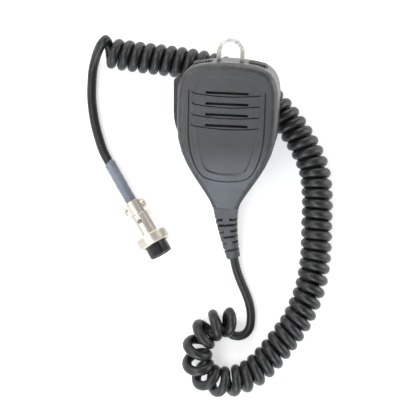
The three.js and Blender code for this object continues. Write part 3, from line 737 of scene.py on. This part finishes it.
def frontShell():
    sizes = head
    base = sizes["seam"] + sizes["seamGap"] / 2
    face = sizes["depth"]
    shell = caseHalf("frontCase", base, face - sizes["round"] - base)
    # the panel inside the shield line lies a little lower, with soft sides
    hollow = drawLine("panelHollow", roundedLine(mirrored(sizes["panel"]), face + 1), closed=True)
    fillAndRaise(hollow, -1)
    for inward, down in sizes["panelSlope"]:
        bpy.ops.mesh.inset(thickness=inward, depth=down, use_even_offset=True)
    bpy.ops.object.mode_set(mode="OBJECT")
    # its top end lies almost level with the face
    deepest = sum(down for _, down in sizes["panelSlope"])
    pickUp(hollow, edit=True)
    choose(hollow, "VERT", lambda v: v.co.z < face + 0.5)
    bpy.ops.transform.rotate(value=-sizes["panelTilt"], orient_axis="X", center_override=(0, 21, face))
    bpy.ops.object.mode_set(mode="OBJECT")
    cutters = [hollow]
    ring = roundedLine(mirrored(sizes["shield"]), face + 0.05)
    # the line runs down both sides and round the bottom, and stops short of the top
    sides = [p for p in ring if p[1] < sizes["shieldTop"]]
    turned = next(i for i, p in enumerate(sides) if (Vector(p) - Vector(sides[i - 1])).length > 8)
    cutters.append(grooveCutter(sides[turned:] + sides[:turned], sizes["shieldRod"],
                                sizes["shieldStretch"]))
    slot = block("slot", (-sizes["slotHalf"], -sizes["slotHeight"] / 2, 20),
                 (sizes["slotHalf"], sizes["slotHeight"] / 2, 30))
    pickUp(slot, edit=True)
    choose(slot, "EDGE", lambda e: abs(e.verts[0].co.z - e.verts[1].co.z) > 5)
    bpy.ops.mesh.bevel(offset=sizes["slotEnd"], segments=4, affect="EDGES")
    bpy.ops.object.mode_set(mode="OBJECT")
    for rise in sizes["slots"]:
        cutters.append(copyPiece(slot, "slotCutter", (0, rise, 0)))
        low = rise - sizes["smileBelow"]
        surface = face - deepest + (low - 21) * sizes["panelTilt"]
        half = sizes["smileHalf"]
        smile = [(x, low + x * x / sizes["smileBow"], surface) for x in range(-half, half + 1)]
        # the left end turns up
        smile = [(-half - 1.1, low + 2.6, surface), (-half - 0.7, low + 1.6, surface)] + smile
        cutters.append(grooveCutter(smile, sizes["smileRod"], sizes["smileStretch"]))
    bpy.data.objects.remove(slot)
    carve(shell, cutters + openingCutters())
    ribsAcross(shell, 1.5, 40, sizes["ribStep"])
    bendInCage(shell, *sizes["cage"], toNeck)
    markRubbed(shell, sizes["rubbedWidth"])
    evenShading(shell, 38)
    setInPlace(shell, headPlace, finishes["casePlastic"], "root", ["front_shell"])


def rearShell():
    sizes = head
    base = sizes["seam"] - sizes["seamGap"] / 2
    shell = caseHalf("rearCase", base, sizes["round"] - base)
    cutters = openingCutters()
    for x, y in sizes["screws"]:
        cutters.append(drill(x, y, -2, sizes["screwWell"], 2.85))
    carve(shell, cutters)
    ribsAcross(shell, 1.5, 20, sizes["ribStep"])
    bendInCage(shell, *sizes["cage"], toNeck)
    markRubbed(shell, sizes["rubbedWidth"])
    evenShading(shell, 38)
    setInPlace(shell, headPlace, finishes["casePlastic"], "root", ["rear_shell"])


frontShell()
rearShell()
print("case made")


# The steel loop on the top end.
hangerLoop = {"radius": 6.45, "band": 2.1, "low": 11.8, "high": 16.2, "centre": 87.2, "foot": 77.4}


def makeLoop():
    sizes = hangerLoop
    clearSelection()
    bpy.ops.mesh.primitive_plane_add(size=1, location=(sizes["radius"], sizes["centre"],
                                                       (sizes["low"] + sizes["high"]) / 2),
                                     rotation=(math.pi / 2, 0, 0))
    loop = bpy.context.object
    loop.name = "hangingLoop"
    loop.scale = (sizes["band"], sizes["high"] - sizes["low"], 1)
    bpy.ops.object.transform_apply(location=True, rotation=True, scale=True)
    pickUp(loop, edit=True)
    bpy.ops.mesh.spin(steps=40, angle=-math.pi, center=(0, sizes["centre"], 14), axis=(0, 0, 1))
    bpy.ops.mesh.select_all(action="SELECT")
    bpy.ops.mesh.remove_doubles(threshold=0.001)

    def atEnd(face, side):
        middle = face.calc_center_median()
        return abs(middle.y - sizes["centre"]) < 0.01 and middle.x * side > 0

    for side in (1, -1):
        choose(loop, "FACE", lambda f: atEnd(f, side))
        bpy.ops.mesh.extrude_region_move(
            TRANSFORM_OT_translate={"value": (0, sizes["foot"] - sizes["centre"], 0)})
    bpy.ops.mesh.select_all(action="SELECT")
    bpy.ops.mesh.remove_doubles(threshold=0.001)
    bpy.ops.mesh.normals_make_consistent(inside=False)
    bpy.ops.object.mode_set(mode="OBJECT")
    feet = [block("foot", (5.5, 77.4, 12), (8.4, 78.8, 16)),
            block("foot", (-8.4, 77.4, 12), (-5.5, 78.8, 16))]
    carve(loop, feet, "UNION")
    softenEdges(loop, 0.75, 4, 50)
    setInPlace(loop, headPlace, finishes["loopSteel"], "root", ["hanger_loop"])


makeLoop()


# The talk bar on the left side, then the two keys on the top end.
talkBar = {"low": 6, "high": 20,
           "outline": [(-25.4, 42.4), (-25.4, 72.4), (-28.9, 72.4, -28.9, 72.4, -29.8, 72.3),
                       (-30.4, 70.6, -30.4, 71.4, -30.4, 69), (-30.2, 54, -30.3, 60, -30, 49.5),
                       (-27.8, 43, -29.2, 45.5, -27.2, 42.4)]}


def makeTalkBar():
    sizes = talkBar
    bar = drawLine("talkBar", roundedLine(sizes["outline"], sizes["low"]), closed=True)
    fillAndRaise(bar, sizes["high"] - sizes["low"])
    bpy.ops.object.mode_set(mode="OBJECT")
    softenEdges(bar, 0.7, 4, 50)
    setInPlace(bar, headPlace, finishes["barPlastic"], "ptt", ["ptt_bar"])


makeTalkBar()

keyCap = {"half": 5.1, "back": -5, "proud": 1.1, "low": 10, "high": 18, "round": 0.8}


def makeKey(name, side, body, node):
    sizes = keyCap
    key = block(name, (-sizes["half"], sizes["back"], sizes["low"]),
                (sizes["half"], sizes["proud"], sizes["high"]))
    pickUp(key, edit=True)
    choose(key, "FACE", lambda f: f.normal.y > 0.9)
    bpy.ops.mesh.inset(thickness=1.1, depth=0, use_even_offset=True)
    bpy.ops.mesh.inset(thickness=0.35, depth=-0.3, use_even_offset=True)
    bpy.ops.object.mode_set(mode="OBJECT")
    softenEdges(key, sizes["round"], 4, 60, 40)
    x, y = head["keyStation"]
    turned = (Matrix.Translation((side * x, y, 0))
              @ Matrix.Rotation(-side * math.radians(head["keyLean"]), 4, "Z"))
    setInPlace(key, headPlace @ turned, finishes["keyPlastic"], body, [node])


makeKey("leftKey", -1, "up_key_body", "up_key")
makeKey("rightKey", 1, "down_key_body", "down_key")
print("loop, bar and keys made")


# The rubber boot; grooves are (distance from the case, True where a bridge is left in the middle).
boot = {"length": 30.5, "start": -0.4, "wide": 7.0, "narrow": 3.85, "rings": 24, "core": 3.0,
        "rise": 11.8, "sideways": 4.8, "curve": 1.8, "drop": 0.8, "plugShare": 0.66,
        "grooves": [(6.9, True), (10.3, False), (14.1, True), (17.4, False), (20.9, True), (25.4, False)],
        "groove": 1.45, "bridge": 1.8}


def alongBoot(point):
    # carries the straight boot over to the right, as the cord pulls it
    t = max(0, (boot["start"] - point.y) / boot["length"])
    lean = boot["sideways"] * boot["curve"] * t ** (boot["curve"] - 1) / boot["length"]
    return Vector((point.x + boot["sideways"] * t ** boot["curve"], point.y + point.x * lean,
                   point.z - boot["drop"] * t))


def makeBoot():
    sizes = boot
    clearSelection()
    bpy.ops.mesh.primitive_plane_add(size=2 * sizes["wide"], location=(0, 3, sizes["rise"]),
                                     rotation=(math.pi / 2, 0, 0))
    piece = bpy.context.object
    piece.name = "cordBoot"
    bpy.ops.object.transform_apply(location=True, rotation=True, scale=True)
    pickUp(piece, edit=True)
    bpy.ops.mesh.bevel(offset=0.9, segments=2, affect="VERTICES")
    choose(piece, "EDGE", lambda e: e.calc_length() > 5)
    bpy.ops.mesh.subdivide(number_cuts=5)
    bpy.ops.mesh.select_mode(type="FACE")
    bpy.ops.mesh.select_all(action="SELECT")
    middle = Vector((0, 3, sizes["rise"]))
    thin = sizes["plugShare"]
    # a narrower plug inside the neck, then the visible taper
    bpy.ops.transform.resize(value=(thin, 1, thin), center_override=middle)
    bpy.ops.mesh.extrude_region_move(TRANSFORM_OT_translate={"value": (0, sizes["start"] - 3, 0)})
    middle.y = sizes["start"]
    bpy.ops.mesh.extrude_region_move(TRANSFORM_OT_translate={"value": (0, 0, 0)})
    bpy.ops.transform.resize(value=(1 / thin, 1, 1 / thin), center_override=middle)
    half = sizes["wide"]
    for ring in range(1, sizes["rings"] + 1):
        t = ring / sizes["rings"]
        nextHalf = sizes["wide"] + (sizes["narrow"] - sizes["wide"]) * t ** 0.85
        bpy.ops.mesh.extrude_region_move(
            TRANSFORM_OT_translate={"value": (0, -sizes["length"] / sizes["rings"], 0)})
        middle.y -= sizes["length"] / sizes["rings"]
        scale = nextHalf / half
        bpy.ops.transform.resize(value=(scale, 1, scale), center_override=middle)
        half = nextHalf
    bpy.ops.mesh.select_all(action="SELECT")
    bpy.ops.mesh.normals_make_consistent(inside=False)
    # rounder towards the cord
    shape = bmesh.from_edit_mesh(piece.data)
    for vertex in shape.verts:
        t = min(1, max(0, (sizes["start"] - vertex.co.y) / sizes["length"]))
        flat = Vector((vertex.co.x, 0, vertex.co.z - sizes["rise"]))
        reach = sizes["wide"] + (sizes["narrow"] - sizes["wide"]) * t ** 0.85
        if flat.length > 0.1 and vertex.co.y < sizes["start"] + 0.01:
            rounder = flat.lerp(flat.normalized() * reach, min(1, t ** 1.5 * 1.05))
            vertex.co.x, vertex.co.z = rounder.x, sizes["rise"] + rounder.z
    bmesh.update_edit_mesh(piece.data)
    bpy.ops.object.mode_set(mode="OBJECT")
    cutters = []
    for at, bridged in sizes["grooves"]:
        high = sizes["start"] - at + sizes["groove"] / 2
        low = high - sizes["groove"]
        if bridged:
            for side in (1, -1):
                ends = sorted((side * sizes["bridge"], side * 10))
                cutters.append(block("groove", (ends[0], low, 0), (ends[1], high, 24)))
        else:
            cutters.append(block("groove", (-10, low, 0), (10, high, 24)))
    carve(piece, cutters)
    useModifier(piece, "BEVEL", width=0.22, segments=2, limit_method="ANGLE",
                angle_limit=math.radians(50))
    core = drill(0, 0, 0, sizes["length"] - 1, sizes["core"], 48)
    core.matrix_world = (Matrix.Translation((0, sizes["start"], sizes["rise"]))
                         @ Matrix.Rotation(math.pi / 2, 4, "X"))
    pickUp(core)
    bpy.ops.object.transform_apply(location=True, rotation=True, scale=True)
    piece.select_set(True)
    bpy.context.view_layer.objects.active = piece
    bpy.ops.object.join()
    ribsAcross(piece, -31, 2, 1.3)
    bendInCage(piece, (-9, -33, 0), (9, 5, 24), (2, 20, 2), alongBoot)
    evenShading(piece, 40)
    setInPlace(piece, headPlace, finishes["bootRubber"], "root", ["cord_boot"])


makeBoot()
print("boot made")


# The plug, drawn along its own Z axis from the cord to the mating end.
sleeve = {"radius": 3.4, "inner": 2.95, "low": -26, "high": 6, "rows": 26, "cutTilt": -22}
barrel = {"radius": 6.15, "collar": 5.3, "bore": 3.65, "dimple": (-1.2, 13.1)}
ring = {"radius": 9.2, "low": 21.7, "high": 28.1, "bore": 7.7, "lip": 6.45, "knurls": 48,
        "knurlDepth": 0.36}


def makeSleeve():
    sizes = sleeve
    profile = []
    for i in range(sizes["rows"] + 1):
        z = sizes["low"] + (sizes["high"] - sizes["low"]) * i / sizes["rows"]
        swell = 0.06 * math.sin(i * 1.7) + 0.04 * math.sin(i * 0.6 + 1)
        profile.append((sizes["radius"] - 0.04 + swell, z))
    profile = ([(sizes["inner"], sizes["high"])] + list(reversed(profile))
               + [(sizes["inner"], sizes["low"])])
    piece = turnOnLathe("shrinkSleeve", profile, 48)
    pickUp(piece, edit=True)
    # the cut end runs at an angle
    choose(piece, "VERT", lambda v: v.co.z < sizes["low"] + 0.1)
    bpy.ops.transform.rotate(value=math.radians(sizes["cutTilt"]), orient_axis="Y",
                             center_override=(0, 0, sizes["low"] + 1.2))
    bpy.ops.object.mode_set(mode="OBJECT")
    softenEdges(piece, 0.12, 2, 50, 50)
    setInPlace(piece, plugPlace, finishes["shrinkSleeve"], "root", ["cord_sleeve"])
    return piece


def clampHalf(name, upward):
    # half a collar with two ears, one each side
    sizes = barrel
    piece = turnOnLathe(name, [(sizes["bore"], 0.4), (sizes["collar"] - 0.3, 0.4), (sizes["collar"], 0.7),
                               (sizes["collar"], 8.5), (sizes["bore"], 8.5)], 40, math.pi)
    ears = []
    for side in (1, -1):
        low, high = sorted((side * 3.9, side * 6.9))
        ear = block("ear", (low, 0, 1.4), (high, 1.8, 6.4))
        pickUp(ear, edit=True)
        choose(ear, "EDGE", lambda e: all(v.co.x * side > 6 for v in e.verts)
               and abs(e.verts[0].co.y - e.verts[1].co.y) > 1)
        bpy.ops.mesh.bevel(offset=1.4, segments=5, affect="EDGES")
        bpy.ops.object.mode_set(mode="OBJECT")
        ears.append(ear)
    carve(piece, ears, "UNION")
    turn = Matrix.Translation((0, 0.2, 0))
    if not upward:
        turn = Matrix.Translation((0, -0.2, 0)) @ Matrix.Rotation(math.pi, 4, "Z")
    piece.matrix_world = turn
    pickUp(piece)
    bpy.ops.object.transform_apply(location=True, rotation=True, scale=True)
    return piece


def makeBarrel():
    sizes = barrel
    r = sizes["radius"]
    bore = sizes["bore"]
    piece = turnOnLathe("plugBarrel", [(bore, 8.6), (sizes["collar"], 8.6), (5.85, 8.75), (r, 9.2),
                                       (r, 20.6), (r - 0.15, 20.75), (r - 0.15, 21.0), (r, 21.15),
                                       (r, 24.2), (r - 0.2, 24.5), (r - 1.1, 24.5), (r - 1.1, 10.2),
                                       (bore, 10.2)], 112)
    lower = clampHalf("lowerClamp", False)
    carve(piece, [lower], "UNION")
    x, z = sizes["dimple"]
    dimple = drill(x, 0, 0, 8, 1.3, 32)
    dimple.matrix_world = (Matrix.Translation((x, 8, z)) @ Matrix.Rotation(math.pi / 2, 4, "X")
                           @ Matrix.Translation((-x, 0, 0)))
    pickUp(dimple)
    bpy.ops.object.transform_apply(location=True, rotation=True, scale=True)
    seam = block("rollSeam", (4.15, 3.9, 9), (4.4, 6, 22))
    carve(piece, [dimple, seam])
    softenEdges(piece, 0.18, 2, 45, 40)
    setInPlace(piece, plugPlace, finishes["nickelPlate"], "root", ["plug_barrel"])
    return piece


def makeSaddle():
    piece = clampHalf("cableSaddle", True)
    softenEdges(piece, 0.3, 3, 45, 40)
    setInPlace(piece, plugPlace, finishes["nickelPlate"], "root", ["cable_saddle"])
    return piece


def slottedScrew(name, place, radius, height, node, finish="screwSteel"):
    # a low domed head with a slot across it, its axis along Z
    clearSelection()
    screw = turnOnLathe(name, [(0.001, -2), (radius * 0.5, -2), (radius * 0.5, 0), (radius, 0),
                               (radius, height * 0.6), (radius * 0.75, height * 0.92),
                               (0.001, height)], 40)
    slot = block("slot", (-radius * 1.2, -radius * 0.16, height * 0.5),
                 (radius * 1.2, radius * 0.16, height * 2), 0.6)
    carve(screw, [slot])
    softenEdges(screw, 0.08, 2, 40, 40)
    setInPlace(screw, place, finishes[finish], "root", [node])
    return screw


def makeRing():
    sizes = ring
    r = sizes["radius"]
    low, high = sizes["low"], sizes["high"]
    rows = [low + 0.9 + (high - low - 1.8) * i / 9 for i in range(10)]
    bore, lip = sizes["bore"], sizes["lip"]
    profile = ([(lip, low), (r - 0.75, low), (r - 0.15, low + 0.55)] + [(r, z) for z in rows]
               + [(r - 0.15, high - 0.55), (r - 0.7, high), (bore + 0.25, high), (bore, high - 0.25),
                  (bore, low + 1.5), (lip, low + 1.5)])
    piece = turnOnLathe("couplingRing", profile, 2 * sizes["knurls"])
    # every second point of every row goes in, which leaves a diamond knurl
    pickUp(piece, edit=True)
    step = math.pi / sizes["knurls"]

    def sunk(vertex):
        if math.hypot(vertex.co.x, vertex.co.y) < r - 0.05:
            return False
        if not rows[0] - 0.01 < vertex.co.z < rows[-1] + 0.01:
            return False
        row = round((vertex.co.z - rows[0]) / (rows[1] - rows[0]))
        return (round(math.atan2(vertex.co.y, vertex.co.x) / step) + row) % 2 == 0

    choose(piece, "VERT", sunk)
    scale = 1 - sizes["knurlDepth"] / r
    bpy.ops.transform.resize(value=(scale, scale, 1), center_override=(0, 0, 0))
    bpy.ops.object.mode_set(mode="OBJECT")
    pickUp(piece)
    bpy.ops.object.shade_smooth_by_angle(angle=math.radians(18))
    setInPlace(piece, plugPlace, finishes["ringNickel"], "ring", ["coupling_ring"])
    return piece


def makeInsert():
    piece = turnOnLathe("plugInsert", [(0.001, 24.8), (6.1, 24.8), (6.15, 26.9), (7.2, 26.9), (7.2, 27.9),
                                       (6.5, 27.9), (6.5, 34.7), (6.1, 35.1), (5.7, 35.1), (5.5, 34.6),
                                       (0.001, 34.6)], 96)
    cutters = [block("flat", (-3.4, 6.05, 28.2), (0.2, 8, 36)),
               block("keyway", (1.4, 5, 28), (3.4, 8, 36))]
    holes = [(0, 0)] + [(4.3 * math.cos(a), 4.3 * math.sin(a))
                        for a in (math.radians((i + 0.5) * 360 / 7 - 90) for i in range(7))]
    for x, y in holes:
        cutters.append(drill(x, y, 29, 36, 1.2, 24))
    carve(piece, cutters)
    softenEdges(piece, 0.12, 2, 40, 40)
    setInPlace(piece, plugPlace, finishes["insertPlastic"], "root", ["plug_insert"])
    return piece


sleevePiece = makeSleeve()
barrelPiece = makeBarrel()
saddlePiece = makeSaddle()
ringPiece = makeRing()
insertPiece = makeInsert()
earScrews = []
for number, x in ((1, -5.6), (2, 5.6)):
    upright = plugPlace @ Matrix.Translation((x, 2.0, 3.9)) @ Matrix.Rotation(-math.pi / 2, 4, "X")
    earScrews.append(slottedScrew("earScrew%d" % number, upright, 1.35, 1.2,
                                  "saddle_screw_%d" % number, "nickelPlate"))
x, z = barrel["dimple"]
upright = plugPlace @ Matrix.Translation((x, 5.0, z)) @ Matrix.Rotation(-math.pi / 2, 4, "X")
setScrew = slottedScrew("barrelScrew", upright, 1.0, 0.7, "barrel_screw")
print("plug made")


# Pieces that keep their own mesh and only get a finish.
keptFinishes = {
    "switchPlastic": ["ptt_switch", "up_key_switch", "down_key_switch"],
    "whitePlastic": ["wire_header", "ptt_switch_plunger", "up_key_stem", "down_key_stem"],
    "bootRubber": ["capsule_holder"],
    "boardLaminate": ["circuit_board"],
    "screwSteel": ["ptt_pivot_pin", "board_screw_1", "board_screw_2", "clamp_screw_1", "clamp_screw_2",
                   "case_screw_1", "case_screw_2", "case_screw_3", "cable_clamp", "ring_clip"],
    "capsuleCan": ["microphone_capsule"],
    "grilleCloth": ["grille_cloth"],
    "cordJacket": ["cable_end"],
    "contactGold": ["contact_%d" % i for i in range(1, 9)],
}
keptFinishes.update({wire: [wire] for wire in wireTints})
for finish, names in keptFinishes.items():
    for name in names:
        nodes[name].data.materials.clear()
        nodes[name].data.materials.append(finishes[finish])

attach(cordPiece, "root")
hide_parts("cord_lead", "cord_coil", "cord_tail")
plugPieces = [sleevePiece, barrelPiece, saddlePiece, ringPiece, insertPiece, setScrew]
plugPieces += [nodes["ring_clip"]] + earScrews
plugPieces += [nodes["contact_%d" % i] for i in range(1, 9)]


# The floor and the light.
studio = {"aim": (0, -0.03, 0), "floor": 3.0, "floorTone": 0.85, "floorGlow": 0.5,
          "horizon": 1.25, "overhead": 0.25,
          "lamps": [("upperLeftBox", (-0.55, 0.45, 0.8), 0.5, 4.0, (1, 0.98, 0.95)),
                    ("rightBox", (0.9, 0.1, 0.3), 0.7, 4.5, (1, 1, 1)),
                    ("nearBox", (-0.17, -0.86, 0.52), 0.5, 5.0, (0.8, 0.88, 1)),
                    ("farBox", (0.05, 0.95, 0.3), 0.5, 2.5, (1, 0.98, 0.93)),
                    ("highBox", (-0.42, -0.27, 0.8), 0.4, 2.6, (1, 1, 1))]}
clearSelection()
bpy.ops.mesh.primitive_plane_add(size=studio["floor"])
floor = bpy.context.object
floor.name = "studioFloor"
floorPaint, _, floorShader = blankMaterial("floorPaint")
floorShader.inputs["Base Color"].default_value = (studio["floorTone"],) * 3 + (1,)
floorShader.inputs["Roughness"].default_value = 0.9
floorShader.inputs["Emission Color"].default_value = (1, 1, 1, 1)
floorShader.inputs["Emission Strength"].default_value = studio["floorGlow"]
floor.data.materials.append(floorPaint)
world = bpy.data.worlds.new("studioRoom")
bpy.context.scene.world = world
world.use_nodes = True
# the room is bright low down and darker overhead
room = world.node_tree
around = addNode(room, "TexCoord").outputs["Generated"]
lookUp = addNode(room, "SeparateXYZ", {0: around})
glow = ramp(room, lookUp.outputs[2], 0.05, 0.75, studio["horizon"], studio["overhead"])
room.links.new(glow, room.nodes["Background"].inputs[1])
room.nodes["Background"].inputs[0].default_value = (1, 1, 1, 1)
for name, placeAt, size, power, tint in studio["lamps"]:
    bpy.ops.object.light_add(type="AREA", location=placeAt)
    lamp = bpy.context.object
    lamp.name = name
    lamp.data.size = size
    lamp.data.energy = power
    lamp.data.color = tint
    aim = Vector(studio["aim"]) - Vector(placeAt)
    lamp.rotation_euler = aim.to_track_quat("-Z", "Y").to_euler()
print("studio lit")

clearSelection()
